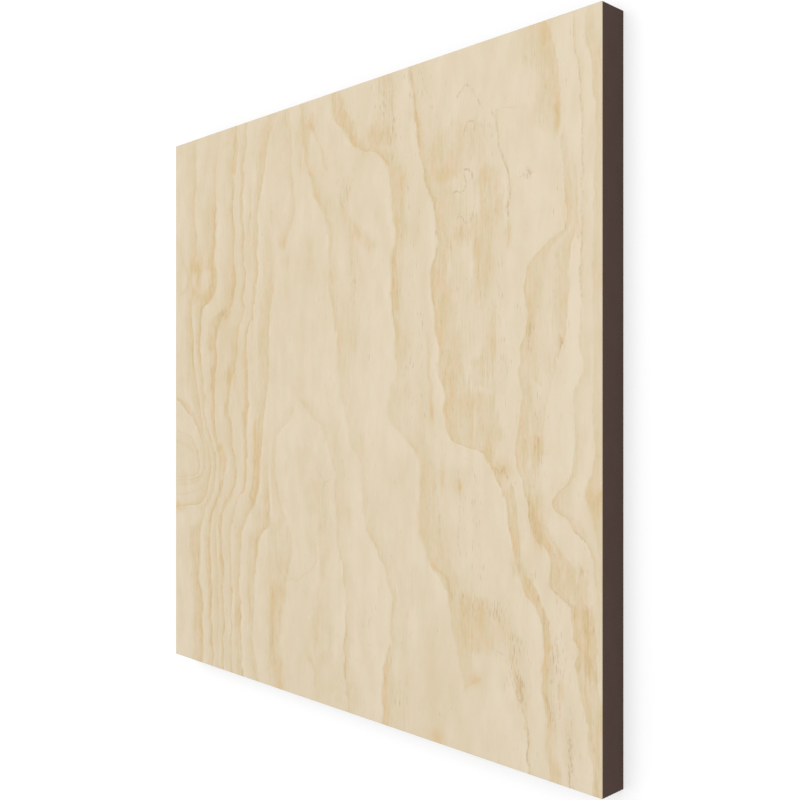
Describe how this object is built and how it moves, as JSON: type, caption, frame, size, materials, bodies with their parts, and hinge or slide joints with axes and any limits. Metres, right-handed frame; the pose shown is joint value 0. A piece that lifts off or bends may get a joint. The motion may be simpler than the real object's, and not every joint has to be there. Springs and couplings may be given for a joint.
{
  "type": "craft wood panel",
  "caption": "Square wood panel, lying flat: a dark brown fibreboard core with a figured pine veneer glued to its face, for craft and interior work.",
  "frame": {"origin": "centre of the back face, on the surface that the panel lies on", "axes": "+X across the grain, +Y along the grain, +Z out of the pine face"},
  "size_m": [0.4, 0.4, 0.019],
  "materials": {
    "brown_fibreboard": "matte",
    "pine_veneer": "matte"
  },
  "bodies": {
    "root": {"core_board": "brown_fibreboard", "face_veneer": "pine_veneer"}
  },
  "joints": []
}
